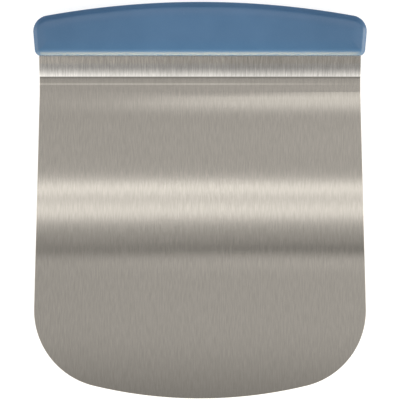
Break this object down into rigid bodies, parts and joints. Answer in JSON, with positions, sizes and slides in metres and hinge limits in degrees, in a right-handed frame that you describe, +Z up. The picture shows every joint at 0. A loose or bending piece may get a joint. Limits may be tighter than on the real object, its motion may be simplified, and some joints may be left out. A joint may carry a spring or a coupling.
{
  "type": "bench scraper",
  "caption": "Wide bench scraper with a flat square blade, rounded front corners and a curved front edge, joggled at the neck into a hollow moulded handle.",
  "frame": {"origin": "middle of the footprint, on the surface that the blade lies on", "axes": "+X across the blade, +Y from the curved front edge towards the handle, +Z up through the blade from its underside to the handle's face"},
  "size_m": [0.2104, 0.2506, 0.014],
  "materials": {
    "stainless": "satin, brushed from the handle to the front edge",
    "blue_plastic": "semi-gloss moulded plastic, slate blue",
    "seal_rubber": "matt",
    "zinc_screw": "bright zinc plate"
  },
  "bodies": {
    "root": {"blade": "stainless", "front_shell": "blue_plastic", "rear_shell": "blue_plastic", "neck_seal": "seal_rubber", "handle_screws": "zinc_screw", "screw_plug_1": "blue_plastic", "screw_plug_2": "blue_plastic", "screw_plug_3": "blue_plastic", "screw_plug_4": "blue_plastic", "screw_plug_5": "blue_plastic"}
  },
  "joints": []
}
